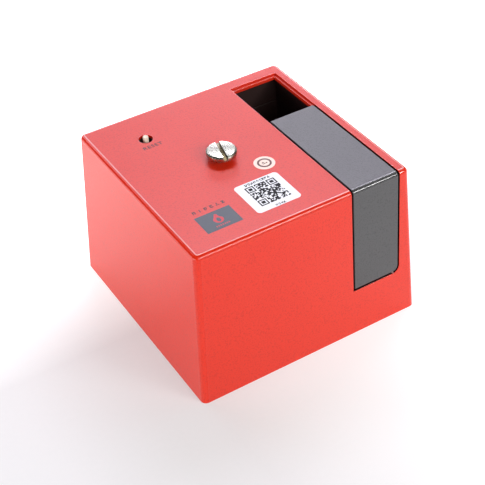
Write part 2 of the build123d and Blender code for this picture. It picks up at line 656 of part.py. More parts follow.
def module_screws():
    """Two long screws from the side panel through the board into the shell's bosses."""
    screws = []
    seat = MODULE_RIGHT - MODULE_SCREW_HEAD_H - HOLE_GAP
    end = MODULE_MID - MODULE_BOARD_THICKNESS / 2 - MODULE_SCREW_BITE + HOLE_GAP
    for y, z in module_screw_axes():
        head = cross_rod(seat, seat + MODULE_SCREW_HEAD_H, y, z, MODULE_SCREW_HEAD_R)
        top = seat + MODULE_SCREW_HEAD_H
        half = DRIVE_WIDTH / 2
        reach = MODULE_SCREW_HEAD_R / 2
        head -= block(top - DRIVE_DEPTH / 2, top, y - reach, y + reach, z - half, z + half)
        head -= block(top - DRIVE_DEPTH / 2, top, y - half, y + half, z - reach, z + reach)
        screws.append(head + cross_rod(end, seat, y, z, MODULE_SCREW_R))
    return Compound(children=screws)


# ---------------------------------------------------------------- captive screw
def ring_levels():
    """Bottom and top of the ring that keeps the captive screw in the unit."""
    return THREAD_LENGTH + RING_RUN_GAP, THREAD_LENGTH + RING_RUN_GAP + RING_THICKNESS


def captive_screw():
    """The long slotted screw through the middle of the unit, standing on its tip with its head raised."""
    head_z = HEIGHT + HEAD_LIFT
    top = head_z + HEAD_THICKNESS
    head = post(SCREW_X, SCREW_Y, head_z, top, HEAD_R)
    head = chamfer(head.edges().sort_by(Axis.Z)[-1], HEAD_CHAMFER)
    slot = Rot(0, 0, HEAD_SLOT_ANGLE) * Box(4 * HEAD_R, HEAD_SLOT_WIDTH, 2 * HEAD_SLOT_DEPTH)
    head -= Pos(SCREW_X, SCREW_Y, top) * slot
    ring_low, ring_high = ring_levels()
    thread = post(SCREW_X, SCREW_Y, 0, ring_low - RING_RUN_GAP, THREAD_R)
    thread = chamfer(thread.edges().sort_by(Axis.Z)[0], TIP_CHAMFER)
    groove = post(SCREW_X, SCREW_Y, ring_low - RING_RUN_GAP, ring_high + RING_RUN_GAP, GROOVE_R)
    shank = post(SCREW_X, SCREW_Y, ring_high + RING_RUN_GAP, head_z, SHANK_R)
    return head + shank + groove + thread


def screw_retaining_ring():
    """The flat ring in the screw's groove, which meets the plate and stops the screw coming out."""
    low, high = ring_levels()
    ring = post(SCREW_X, SCREW_Y, low, high, RING_R)
    return ring - post(SCREW_X, SCREW_Y, low, high, GROOVE_R + RING_RUN_GAP)


def screw_guide_tube():
    """The tube between plate and cover that the captive screw passes through."""
    top = CEILING - GUIDE_TUBE_END_GAP
    tube = post(SCREW_X, SCREW_Y, PLATE_TOP, top, GUIDE_TUBE_R)
    return tube - post(SCREW_X, SCREW_Y, PLATE_TOP, top, BORE_R)


# ---------------------------------------------------------------- reset push rod and its switch
def reset_rod():
    """The translucent push rod, with a collar above its spring and a groove for its clip."""
    groove_top = WEB_BOTTOM
    groove_low = WEB_BOTTOM - CLIP_THICKNESS - 2 * CLIP_GAP
    stem = post(RESET_X, RESET_Y, PLUNGER_TOP, HEIGHT + RESET_ROD_PROUD, RESET_ROD_R)
    stem = fillet(stem.edges().sort_by(Axis.Z)[-1], RESET_ROD_R / 4)
    stem += post(RESET_X, RESET_Y, COLLAR_Z, COLLAR_Z + COLLAR_THICKNESS, COLLAR_R)
    slot = post(RESET_X, RESET_Y, groove_low, groove_top, 2 * RESET_ROD_R)
    return stem - (slot - post(RESET_X, RESET_Y, groove_low, groove_top, CLIP_GROOVE_R))


def reset_sleeve():
    """The black sleeve that lines the reset hole above the web."""
    outer = RESET_HOLE_R - SLEEVE_FIT
    sleeve = post(RESET_X, RESET_Y, WEB_TOP, HEIGHT - SLEEVE_DROP, outer)
    return sleeve - post(RESET_X, RESET_Y, WEB_TOP, HEIGHT - SLEEVE_DROP, outer - SLEEVE_WALL)


def reset_clip():
    """The ring in the rod's groove that stops it against the underside of the cover's web."""
    low = WEB_BOTTOM - CLIP_THICKNESS - CLIP_GAP
    ring = post(RESET_X, RESET_Y, low, low + CLIP_THICKNESS, CLIP_R)
    return ring - post(RESET_X, RESET_Y, low, low + CLIP_THICKNESS, CLIP_GROOVE_R)


def reset_spring():
    """The coil spring between the web and the collar."""
    low = WEB_TOP + SPRING_WIRE_R
    rise = COLLAR_Z - WEB_TOP - 2 * SPRING_WIRE_R
    path = Pos(RESET_X, RESET_Y, low) * Helix(rise / SPRING_TURNS, rise, SPRING_R)
    section = Plane(origin=path @ 0, z_dir=path % 0) * Circle(SPRING_WIRE_R)
    return sweep(section, path=path, is_frenet=True)


def reset_switch():
    """The push switch under the rod."""
    half = SWITCH_SIDE / 2
    case = block(RESET_X - half, RESET_X + half, RESET_Y - half, RESET_Y + half, BOARD_TOP, SWITCH_TOP)
    case = fillet(case.edges().filter_by(Axis.Z), RELAY_EDGE_R)
    floor = SWITCH_TOP - PLUNGER_DEPTH - RESET_TRAVEL - HOLE_GAP
    return case - post(RESET_X, RESET_Y, floor, SWITCH_TOP, PLUNGER_R + PLUNGER_FIT)


def reset_plunger():
    """The switch's own plunger, which the rod stands on."""
    return post(RESET_X, RESET_Y, SWITCH_TOP - PLUNGER_DEPTH, PLUNGER_TOP, PLUNGER_R)


# ---------------------------------------------------------------- one file for each piece
def all_pieces():
    """Every piece by name."""
    amplifier_front, amplifier_rear = amplifier_card()
    pieces = {
        "cover": cover(),
        "code_label": code_label(),
        "date_label": date_label(),
        "base_plate": base_plate(),
        "base_screws": base_screws(),
        "contact_blades": contact_blades(),
        "board_spacers": board_spacers(),
        "board_screws": board_screws(),
        "main_board": main_board(),
        "transformer_core": transformer_core(),
        "transformer_bobbin": transformer_bobbin(),
        "transformer_coil": transformer_coil(),
        "capacitor_front": capacitor(-1),
        "capacitor_rear": capacitor(1),
        "timing_chip": timing_chip(),
        "programmer_socket": card_socket(TONGUE_FRONT, TONGUE_REAR),
        "programmer_contacts": card_contacts(TONGUE_FRONT, TONGUE_REAR),
        "amplifier_socket": card_socket(amplifier_front, amplifier_rear),
        "amplifier_contacts": card_contacts(amplifier_front, amplifier_rear),
        "module_bay": module_bay(),
        "module_shell": module_shell(),
        "module_side_panel": module_side_panel(),
        "module_board": module_board(),
        "module_chip": module_chip(),
        "module_screws": module_screws(),
        "captive_screw": captive_screw(),
        "screw_retaining_ring": screw_retaining_ring(),
        "screw_guide_tube": screw_guide_tube(),
        "reset_rod": reset_rod(),
        "reset_sleeve": reset_sleeve(),
        "reset_clip": reset_clip(),
        "reset_spring": reset_spring(),
        "reset_switch": reset_switch(),
        "reset_plunger": reset_plunger(),
    }
    for index, name in enumerate(RELAY_NAMES):
        pieces[name] = relay(index)
    return pieces


os.makedirs("parts", exist_ok=True)
for piece_name, piece in all_pieces().items():
    export_step(piece, f"parts/{piece_name}.step")
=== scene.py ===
import math
import random

import bmesh
import bpy
from mathutils import Matrix, Vector


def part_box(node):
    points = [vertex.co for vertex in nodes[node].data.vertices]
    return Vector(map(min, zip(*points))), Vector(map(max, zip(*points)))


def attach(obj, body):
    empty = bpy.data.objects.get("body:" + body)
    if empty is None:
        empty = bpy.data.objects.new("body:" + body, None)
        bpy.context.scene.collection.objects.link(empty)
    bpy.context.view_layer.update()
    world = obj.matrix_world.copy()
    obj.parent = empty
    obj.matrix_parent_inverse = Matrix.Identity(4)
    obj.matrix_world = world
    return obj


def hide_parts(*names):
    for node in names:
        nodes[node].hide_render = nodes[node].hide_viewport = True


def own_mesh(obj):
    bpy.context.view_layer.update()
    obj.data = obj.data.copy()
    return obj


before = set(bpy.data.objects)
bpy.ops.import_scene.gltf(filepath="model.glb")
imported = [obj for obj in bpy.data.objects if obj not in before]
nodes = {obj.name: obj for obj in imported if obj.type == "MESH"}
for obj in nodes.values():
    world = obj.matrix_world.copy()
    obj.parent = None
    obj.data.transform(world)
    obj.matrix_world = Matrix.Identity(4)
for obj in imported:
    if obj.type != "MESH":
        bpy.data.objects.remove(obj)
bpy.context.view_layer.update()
MM = 0.001

# ---------------------------------------------------------------- cover
# One deep box moulded in flame-red ABS, drafted on every side, its outside spark-eroded to a fine satin grain.
# The grain scatters the room's light into a soft sheen, and the rounded edges draw thin bright lines.
# A pale line along the top face's edge is a painted highlight, and the dark on the slot's cut faces beside the module
# is painted shade.


def colour(hex_value):
    """A screen colour such as "E42417" as the linear colour that the shaders take."""
    parts = [int(hex_value[i:i + 2], 16) / 255 for i in (0, 2, 4)]
    return [p / 12.92 if p <= 0.04045 else ((p + 0.055) / 1.055) ** 2.4 for p in parts] + [1.0]


def start_material(name):
    """An empty material and the coordinates of the piece that it is on."""
    material = bpy.data.materials.new(name)
    material.use_nodes = True
    material.node_tree.nodes.clear()
    return material, add(material, "TexCoord", {}).outputs["Object"]


def add(material, kind, inputs, **settings):
    """Adds one shader node. An input is a value, or the socket that feeds it."""
    node = material.node_tree.nodes.new("ShaderNode" + kind)
    for name, value in settings.items():
        setattr(node, name, value)
    for socket, value in inputs.items():
        if isinstance(value, bpy.types.NodeSocket):
            material.node_tree.links.new(value, node.inputs[socket])
        else:
            node.inputs[socket].default_value = value
    return node


def blend(material, factor, first, second):
    """The colour a factor of the way from one colour to another. Each is a screen colour or a socket."""
    pair = [colour(tint) if isinstance(tint, str) else tint for tint in (first, second)]
    return add(material, "Mix", {0: factor, 6: pair[0], 7: pair[1]}, data_type="RGBA").outputs[2]


def ramp(material, value, from_low, from_high, to_low=0.0, to_high=1.0):
    """A value moved from one range to another, and held at the ends."""
    return add(material, "MapRange", {
        "Value": value, "From Min": from_low, "From Max": from_high, "To Min": to_low, "To Max": to_high,
    }).outputs["Result"]


def calculate(material, operation, *values):
    """The result of one sum, comparison or other plain operation."""
    return add(material, "Math", dict(enumerate(values)), operation=operation).outputs["Value"]


def axes(material, vector):
    """The three sockets X, Y and Z of a vector."""
    return add(material, "SeparateXYZ", {"Vector": vector}).outputs


def noise(material, place, size, detail, **inputs):
    """Soft irregular patches of about this size, as a factor."""
    return add(material, "TexNoise", {"Vector": place, "Scale": 1 / size, "Detail": detail} | inputs).outputs["Fac"]


def relief(material, height, strength, depth):
    """A surface direction that follows a fine relief."""
    return add(material, "Bump", {"Height": height, "Strength": strength, "Distance": depth}).outputs["Normal"]


def surface(material, tone, gloss, **inputs):
    """Ends a material in one shader: its colour, its roughness, and what else differs from the default."""
    shader = add(material, "BsdfPrincipled", {"Base Color": tone, "Roughness": gloss} | inputs)
    add(material, "OutputMaterial", {"Surface": shader.outputs["BSDF"]})


def rubbed_edges(material, rough, polished):
    """The roughness of a grained surface whose rounded edges hands have rubbed smooth."""
    normal = add(material, "TexCoord", {}).outputs["Normal"]
    facing = axes(material, add(material, "VectorMath", {0: normal}, operation="ABSOLUTE").outputs["Vector"])
    flat = calculate(material, "MAXIMUM", calculate(material, "MAXIMUM", facing["X"], facing["Y"]), facing["Z"])
    edge = ramp(material, flat, 0.998, 0.985)
    return add(material, "Mix", {"Factor": edge, "A": rough, "B": polished}).outputs["Result"]


def finish_nodes(material, *names):
    """Puts a material on CAD nodes."""
    for name in names:
        nodes[name].material_slots[0].material = material


RED = "DC2A10"
RED_PALE = "E13015"
RED_PIT = "C3200C"
# the pale tone of the painted highlight along the top face's edge
RED_PAINTED_HIGHLIGHT = "F9B9B4"
# the dark of the painted shade on the slot's cut faces beside the module
CUT_FACE_PAINTED_SHADE = "240907"
SPARK_GRAIN = 0.75 * MM     # drawn about four times as coarse as the real grain, so that it shows
GRAIN_DEPTH = 0.05 * MM
FLOW_PATCH = 26 * MM        # slow drift of tone where the resin flowed away from the gate
SLOT_MIDDLE = 39.35 * MM    # across the cover
SHADE_REACH = 14.0 * MM     # either side of the slot's middle
SHADE_FOOT = 26.9 * MM      # height where it starts, at the bottom of the slot's front
SHADE_REAR = 12.9 * MM      # how far back it reaches, to the rear end of the module
SHADE_FACING = -0.5         # a face that looks forwards more than this gets no painted shade
HIGHLIGHT_FROM, HIGHLIGHT_FULL = 0.9985, 0.996        # the upward part of a normal that leans 3 and 5 degrees
HIGHLIGHT_LESS, HIGHLIGHT_END = 0.975, 0.955          # and 13 and 17 degrees
HIGHLIGHT_STRENGTH = 0.75

red_abs, place = start_material("spark_eroded_red_abs")
flow = noise(red_abs, place, FLOW_PATCH, 2.0)
grain = noise(red_abs, place, SPARK_GRAIN, 2.0)
drift = blend(red_abs, flow, RED, RED_PALE)
grained = blend(red_abs, ramp(red_abs, grain, 0.5, 0.3, 0.0, 0.7), drift, RED_PIT)
parts = axes(red_abs, place)
facing = axes(red_abs, add(red_abs, "TexCoord", {}).outputs["Normal"])

# the cut faces of the slot beside the programmer module are painted dark: painted shade in the gap round the module
beside = calculate(red_abs, "ABSOLUTE", calculate(red_abs, "SUBTRACT", parts["X"], SLOT_MIDDLE))
stain_and_shade_mask = calculate(red_abs, "LESS_THAN", beside, SHADE_REACH)
for test in (calculate(red_abs, "GREATER_THAN", parts["Z"], SHADE_FOOT),
             calculate(red_abs, "LESS_THAN", parts["Y"], SHADE_REAR),
             calculate(red_abs, "GREATER_THAN", facing["Y"], SHADE_FACING)):
    stain_and_shade_mask = calculate(red_abs, "MULTIPLY", stain_and_shade_mask, test)
shaded_cut_faces = blend(red_abs, stain_and_shade_mask, grained, CUT_FACE_PAINTED_SHADE)

# where the top face turns over, a thin pale line is painted: a painted highlight along the rounded edge
edge_highlight = calculate(red_abs, "MULTIPLY", ramp(red_abs, facing["Z"], HIGHLIGHT_FROM, HIGHLIGHT_FULL),
                 ramp(red_abs, facing["Z"], HIGHLIGHT_END, HIGHLIGHT_LESS, 0.0, HIGHLIGHT_STRENGTH))
tone = blend(red_abs, edge_highlight, shaded_cut_faces, RED_PAINTED_HIGHLIGHT)
gloss = rubbed_edges(red_abs, ramp(red_abs, grain, 0.3, 0.7, 0.31, 0.39), 0.12)
surface(red_abs, tone, gloss, IOR=1.47, Normal=relief(red_abs, grain, 1.0, GRAIN_DEPTH))
finish_nodes(red_abs, "cover")
cover_low, cover_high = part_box("cover")
TOP = cover_high.z

# ---------------------------------------------------------------- marks printed on the cover
# Pad-printed ink, a few hundredths of a millimetre proud: the word over the reset rod in dark red, a grey plate
# with a plain flame on it, and a row of short ticks above the plate.
INK = 0.02 * MM


def only(piece):
    """Selects this piece alone, and makes it the one that the operators work on."""
    bpy.ops.object.select_all(action="DESELECT")
    piece.select_set(True)
    bpy.context.view_layer.objects.active = piece


def settle(piece, name, material, body):
    """Puts a modelled piece's place in its mesh, and gives it its name, finish and body."""
    only(piece)
    bpy.ops.object.transform_apply(location=True, rotation=True, scale=True)
    piece.name = piece.data.name = name
    piece.data.materials.clear()
    piece.data.materials.append(material)
    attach(piece, body)


def thicken(piece, thickness):
    """Gives a flat print the thickness of its ink, upwards."""
    only(piece)
    wall = piece.modifiers.new("thickness", "SOLIDIFY")
    wall.thickness, wall.offset = thickness, 1.0
    bpy.ops.object.modifier_apply(modifier=wall.name)


def print_cells(name, low, high, level, columns, rows, inked, material):
    """Ink in the cells of a grid for which inked(column, row) is true. Row 0 is at the front."""
    bpy.ops.object.select_all(action="DESELECT")
    bpy.ops.mesh.primitive_grid_add(
        x_subdivisions=columns, y_subdivisions=rows, size=1.0, location=(*((low + high) / 2), level))
    sheet = bpy.context.object
    sheet.scale = (high.x - low.x, high.y - low.y, 1.0)
    bpy.ops.object.mode_set(mode="EDIT")
    bpy.ops.mesh.select_mode(type="FACE")
    bpy.ops.mesh.select_all(action="DESELECT")
    mesh = bmesh.from_edit_mesh(sheet.data)
    for face in mesh.faces:
        middle = face.calc_center_median()
        face.select = not inked(int((middle.x + 0.5) * columns), int((middle.y + 0.5) * rows))
    bmesh.update_edit_mesh(sheet.data)
    bpy.ops.mesh.delete(type="FACE")
    bpy.ops.object.mode_set(mode="OBJECT")
    bpy.ops.object.transform_apply(location=True, rotation=True, scale=True)
    thicken(sheet, INK)
    settle(sheet, name, material, "housing")


def ink(name, dark, pale, patch, ior=1.5):
    """Matt printing ink, a little uneven where less of it was left."""
    material, place = start_material(name)
    wear = noise(material, place, patch, 3.0)
    tone = blend(material, wear, dark, pale)
    gloss = ramp(material, wear, 0.0, 1.0, 0.4, 0.6)
    surface(material, tone, gloss, IOR=ior)
    return material


dark_red_ink = ink("pad_printed_dark_red_ink", "250807", "3A0F0D", 0.8 * MM)
grey_ink = ink("pad_printed_grey_ink", "474C55", "535963", 3.0 * MM)
flame_ink = ink("pad_printed_flame_ink", "C8323A", "DA4048", 1.0 * MM)

PLATE_LOW, PLATE_HIGH = Vector((-45.3, -47.2)) * MM, Vector((-26.65, -34.0)) * MM
print_cells("printed_plate", PLATE_LOW, PLATE_HIGH, TOP, 8, 6, lambda column, row: True, grey_ink)

TICKS_LOW, TICKS_HIGH = Vector((-44.0, -31.4)) * MM, Vector((-27.0, -29.4)) * MM
TICK_SHAPES = ("101 101 111", "010 010 010", "110 101 111", "111 100 111", "101 010 010", "111 010 111")


def tick(column, row):
    """Six upright marks of 3 by 3 cells, with three empty cells between them."""
    shape, across = divmod(column, 6)
    return across < 3 and TICK_SHAPES[shape].split()[row][across] == "1"


print_cells("printed_ticks", TICKS_LOW, TICKS_HIGH, TOP, 33, 3, tick, dark_red_ink)

# the flame: a drop with a bent tip and a smaller drop left clear inside it
FLAME_CENTRE = Vector((-36.0, -40.0)) * MM
FLAME_OUTLINE = ((0.0, -3.1), (2.5, -0.9), (1.3, 1.5), (0.4, 3.7), (-1.1, 1.9), (-2.5, -0.7))
FLAME_HEART = ((0.0, -2.3), (1.0, -1.3), (0.1, 0.9), (-1.0, -1.2))
bpy.ops.object.select_all(action="DESELECT")
bpy.ops.curve.primitive_bezier_circle_add(location=(*FLAME_CENTRE, TOP + INK))
flame = bpy.context.object
flame.data.splines.clear()
for outline in (FLAME_OUTLINE, FLAME_HEART):
    spline = flame.data.splines.new("BEZIER")
    spline.bezier_points.add(len(outline) - 1)
    spline.use_cyclic_u = True
    for point, (x, y) in zip(spline.bezier_points, outline):
        point.co = (x * MM, y * MM, 0)
        point.handle_left_type = point.handle_right_type = "AUTO"
flame.data.dimensions = "2D"
flame.data.fill_mode = "BOTH"
flame.data.extrude = INK / 2
bpy.ops.object.convert(target="MESH")
settle(flame, "printed_flame", flame_ink, "housing")

BAR_LOW, BAR_HIGH = Vector((-39.5, -45.3)) * MM, Vector((-32.5, -44.4)) * MM
print_cells("printed_bar", BAR_LOW, BAR_HIGH, TOP + INK, 13, 1, lambda column, row: column % 2 == 0,
            flame_ink)

LEGEND_LOW, LEGEND_HIGH = Vector((-38.6, 26.9)) * MM, Vector((-27.4, 29.6)) * MM
LEGEND_SIZE = 3.45 * MM
LEGEND_BOLD = 0.07 * MM
bpy.ops.object.select_all(action="DESELECT")
bpy.ops.object.text_add(location=(*((LEGEND_LOW + LEGEND_HIGH) / 2), TOP + INK / 2))
legend = bpy.context.object
legend.data.body = "RESET"
legend.data.align_x, legend.data.align_y = "CENTER", "CENTER"
legend.data.size = LEGEND_SIZE
legend.data.space_character = 1.2
legend.data.offset = LEGEND_BOLD
legend.data.extrude = INK / 2
bpy.ops.object.convert(target="MESH")
settle(legend, "printed_reset_word", dark_red_ink, "housing")

# ---------------------------------------------------------------- code label
# A square of white printed vinyl with round corners, stuck flat on the top. Its black print is a block of small
# square cells with three corner squares, a line of fine print over it and a short one under it.
white_vinyl, place = start_material("printed_white_vinyl")
fibre = noise(white_vinyl, place, 1.2 * MM, 3.0)
tone = blend(white_vinyl, fibre, "EEF0F2", "F8F9FB")
surface(white_vinyl, tone, 0.45, IOR=1.5)
finish_nodes(white_vinyl, "code_label")

black_ink = ink("thermal_printed_black_ink", "060607", "0E0D10", 0.6 * MM, 1.25)
label_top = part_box("code_label")[1].z
CODE_CELLS = 25
CORNER_SQUARE = 7
FAR_CORNER = CODE_CELLS - CORNER_SQUARE
CODE_LOW, CODE_HIGH = Vector((-14.6, -44.0)) * MM, Vector((1.6, -28.0)) * MM
chance = random.Random(7)
CODE = [[chance.random() < 0.6 for _ in range(CODE_CELLS)] for _ in range(CODE_CELLS)]


def code_cell(column, row):
    """A cell of the block: a corner square's rings, the clear strip round it, or plain chance."""
    for left, front in ((0, 0), (0, FAR_CORNER), (FAR_CORNER, FAR_CORNER)):
        ring = max(abs(column - left - CORNER_SQUARE // 2), abs(row - front - CORNER_SQUARE // 2))
        if ring <= CORNER_SQUARE // 2 + 1:
            return ring in (0, 1, 3)
    return CODE[row][column]


print_cells("code_print", CODE_LOW, CODE_HIGH, label_top, CODE_CELLS, CODE_CELLS, code_cell, black_ink)


def fine_print(seed):
    """Small print drawn as broken strokes that spell nothing: every fifth column is a gap."""
    strokes = random.Random(seed)
    return lambda column, row: column % 5 != 4 and strokes.random() < 0.6


CAPTION_LOW, CAPTION_HIGH = Vector((-13.2, -27.1)) * MM, Vector((0.6, -25.4)) * MM
NUMBER_LOW, NUMBER_HIGH = Vector((-8.8, -47.5)) * MM, Vector((-3.5, -46.2)) * MM
print_cells("code_caption", CAPTION_LOW, CAPTION_HIGH, label_top, 44, 4, fine_print(3), black_ink)
print_cells("code_number", NUMBER_LOW, NUMBER_HIGH, label_top, 19, 4, fine_print(5), black_ink)

# ---------------------------------------------------------------- date label
# A small round sticker of cream vinyl, stuck flat on the top between the screw and the code label. It carries a
# printed brown ring and a few strokes in the middle that spell nothing.
cream_vinyl, place = start_material("printed_cream_vinyl")
fibre = noise(cream_vinyl, place, 1.2 * MM, 3.0)
tone = blend(cream_vinyl, fibre, "FBDCCB", "FFE8DB")
surface(cream_vinyl, tone, 0.45, IOR=1.5)
finish_nodes(cream_vinyl, "date_label")

brown_ink = ink("printed_brown_ink", "521E0E", "6E2E18", 0.8 * MM)
date_low, date_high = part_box("date_label")
date_centre = (date_low + date_high) / 2
RING_R, RING_LINE = 3.6 * MM, 1.0 * MM
DATE_REACH = Vector((1.3, 0.9)) * MM
bpy.ops.object.select_all(action="DESELECT")
bpy.ops.mesh.primitive_circle_add(
    vertices=64, radius=RING_R, fill_type="NGON", location=(*date_centre.xy, date_high.z))
ring = bpy.context.object
bpy.ops.object.mode_set(mode="EDIT")
bpy.ops.mesh.inset(thickness=RING_LINE)
bpy.ops.mesh.delete(type="FACE")
bpy.ops.object.mode_set(mode="OBJECT")
thicken(ring, INK)
settle(ring, "date_ring", brown_ink, "housing")
print_cells("date_strokes", date_centre.xy - DATE_REACH, date_centre.xy + DATE_REACH, date_high.z, 7, 4,
            fine_print(4), brown_ink)

# ---------------------------------------------------------------- programmer module
# A grey polycarbonate housing that fills the slot over the top and the front, with the same spark-eroded grain
# as the cover. Its right side is a separate panel, which two screws hold to the shell.
GREY = "3E3D3E"
GREY_PALE = "454445"
GREY_PIT = "2A292A"

grey_pc, place = start_material("spark_eroded_grey_polycarbonate")
flow = noise(grey_pc, place, FLOW_PATCH, 2.0)
grain = noise(grey_pc, place, SPARK_GRAIN, 3.0)
drift = blend(grey_pc, flow, GREY, GREY_PALE)
tone = blend(grey_pc, ramp(grey_pc, grain, 0.52, 0.3, 0.0, 0.9), drift, GREY_PIT)
gloss = rubbed_edges(grey_pc, ramp(grey_pc, grain, 0.3, 0.7, 0.32, 0.42), 0.13)
surface(grey_pc, tone, gloss, IOR=1.66, Normal=relief(grey_pc, grain, 1.0, GRAIN_DEPTH))
finish_nodes(grey_pc, "module_shell", "module_side_panel")

# ---------------------------------------------------------------- module bay liner and other plain mouldings
# The open bay is lined with a stepped moulding of matt black polypropylene, and so is the reset hole. The base
# plate, sockets, switch and chips are black plastics too. Relays, bobbin, winding tape and rod are moulded in colour.


def moulded(name, dark, pale, patch, smooth, rough, ior):
    """A plain moulded plastic: two close tones, a roughness that drifts with them, and a faint relief."""
    material, place = start_material(name)
    patches = noise(material, place, patch, 3.0)
    tone = blend(material, patches, dark, pale)
    gloss = ramp(material, patches, 0.3, 0.7, smooth, rough)
    surface(material, tone, gloss, IOR=ior, Normal=relief(material, patches, 0.4, 0.02 * MM))
    return material


# each moulding: two tones, the size of their patches, the range of roughness, IOR and the nodes
MOULDINGS = {
    "moulded_black_polypropylene": ("241412", "301A17", 0.8, 0.5, 0.62, 1.49, "module_bay", "reset_sleeve"),
    "glass_filled_black_nylon": ("1C1C1D", "2A2A2B", 1.0, 0.45, 0.6, 1.53, "base_plate"),
    "moulded_black_pbt": ("17181A", "202124", 1.0, 0.35, 0.5, 1.55, "programmer_socket", "amplifier_socket"),
    "black_phenolic": ("141212", "201C1B", 1.2, 0.25, 0.4, 1.6, "reset_switch"),
    "black_epoxy": ("1A1A1B", "252527", 0.5, 0.5, 0.65, 1.55, "timing_chip", "module_chip"),
    "moulded_blue_polyester": ("1F4E8C", "2A5C9E", 1.5, 0.3, 0.42, 1.56, "relay_blower", "relay_ignition",
                               "relay_pilot_valve", "relay_main_valve"),
    "white_nylon": ("D9D6CC", "E6E4DC", 1.5, 0.35, 0.5, 1.53, "transformer_bobbin", "reset_plunger"),
    "yellow_polyester_tape": ("B98A1E", "D2A437", 1.5, 0.3, 0.45, 1.6, "transformer_coil"),
    "moulded_cream_acetal": ("E6DDC6", "F1EAD8", 0.9, 0.3, 0.42, 1.48, "reset_rod"),
}
for name, (dark, pale, patch, smooth, rough, ior, *covered) in MOULDINGS.items():
    finish_nodes(moulded(name, dark, pale, patch * MM, smooth, rough, ior), *covered)

# ---------------------------------------------------------------- plated and bright metal parts
# Stamped, turned and drawn parts: zinc-plated screws, tinned blades, nickel-plated spacers and tube, gold-flashed
# socket contacts, and bare spring steel for the spring, the clip and the ring.


def plated(name, dark, pale, patch, smooth, rough):
    """Plated metal: a roughness and a tone that drift over small patches."""
    material, place = start_material(name)
    patches = noise(material, place, patch, 3.0)
    tone = blend(material, patches, dark, pale)
    gloss = ramp(material, patches, 0.3, 0.7, smooth, rough)
    surface(material, tone, gloss, Metallic=1.0)
    return material


# each metal: two tones, the size of their patches, the range of roughness and the nodes
METALS = {
    "zinc_plated_steel": ("B9BBC0", "D5D8DD", 1.2, 0.25, 0.4, "base_screws", "board_screws", "module_screws"),
    "tinned_brass": ("C9C3B4", "DAD6CB", 1.5, 0.3, 0.45, "contact_blades"),
    "nickel_plated_steel_tube": ("B5B5B2", "CFCFCB", 1.5, 0.25, 0.4, "board_spacers", "screw_guide_tube"),
    "spring_steel": ("A9AAAC", "C4C5C7", 0.8, 0.2, 0.35, "reset_spring", "screw_retaining_ring", "reset_clip"),
    "gold_flashed_bronze": ("D9A83F", "EBC263", 0.8, 0.15, 0.3, "programmer_contacts", "amplifier_contacts"),
}
for name, (dark, pale, patch, smooth, rough, *covered) in METALS.items():
    finish_nodes(plated(name, dark, pale, patch * MM, smooth, rough), *covered)

# ---------------------------------------------------------------- circuit boards
# Glass-epoxy boards under green solder mask. Copper tracks show as paler lines in a staggered grid, as wide as
# power tracks are, and the mask is a little thicker between them.
TRACK_WIDTH = 0.5 * MM
TRACK_LENGTH = 9.0 * MM
TRACK_SPACING = 3.4 * MM
solder_mask, place = start_material("green_solder_mask")
tracks = add(solder_mask, "TexBrick", {
    "Vector": place, "Scale": 1.0, "Mortar Size": TRACK_WIDTH, "Mortar Smooth": 0.2, "Brick Width": TRACK_LENGTH,
    "Row Height": TRACK_SPACING}).outputs["Fac"]
haze = noise(solder_mask, place, 2.5 * MM, 3.0)
base = blend(solder_mask, haze, "0F4A29", "155A33")
tone = blend(solder_mask, tracks, base, "2F8A52")
gloss = ramp(solder_mask, haze, 0.3, 0.7, 0.22, 0.36)
surface(solder_mask, tone, gloss, IOR=1.55, Normal=relief(solder_mask, tracks, 0.6, 0.05 * MM))
finish_nodes(solder_mask, "main_board", "module_board")

# ---------------------------------------------------------------- transformer core
# A stack of varnished silicon-steel sheets. Their edges show as fine stripes across the stack, drawn here twice as
# wide as the real 0.5 mm sheets so that they show.
SHEET = 1.0 * MM
laminations, place = start_material("varnished_silicon_steel")
WAVES_PER_SCALE = 20 / math.tau     # the wave texture repeats this many times a metre at scale 1
stack = add(laminations, "TexWave", {
    "Vector": place, "Scale": 1 / WAVES_PER_SCALE / SHEET, "Distortion": 0.3, "Detail": 2.0},
    bands_direction="Y").outputs["Fac"]
spots = noise(laminations, place, 1.5 * MM, 3.0)
steel = blend(laminations, stack, "3C3D40", "7E8084")
gloss = ramp(laminations, spots, 0.3, 0.7, 0.35, 0.6)
surface(laminations, steel, gloss, Metallic=0.8)
finish_nodes(laminations, "transformer_core")

# ---------------------------------------------------------------- capacitors
# Two aluminium cans that smooth the supply. Each wears a shrunk dark blue sleeve, which leaves the metal top bare
# above its rim.
SLEEVE_RIM = 0.7 * MM
can_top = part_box("capacitor_front")[1].z
sleeve, place = start_material("shrunk_blue_sleeve_on_aluminium")
crease = noise(sleeve, place, 1.5 * MM, 3.0)
bare = ramp(sleeve, axes(sleeve, place)["Z"], can_top - SLEEVE_RIM, can_top - 0.8 * SLEEVE_RIM)
film = blend(sleeve, crease, "141D33", "1C2744")
tone = blend(sleeve, bare, film, "BFC1C4")
gloss = ramp(sleeve, crease, 0.3, 0.7, 0.22, 0.38)
surface(sleeve, tone, gloss, Metallic=bare)
finish_nodes(sleeve, "capacitor_front", "capacitor_rear")

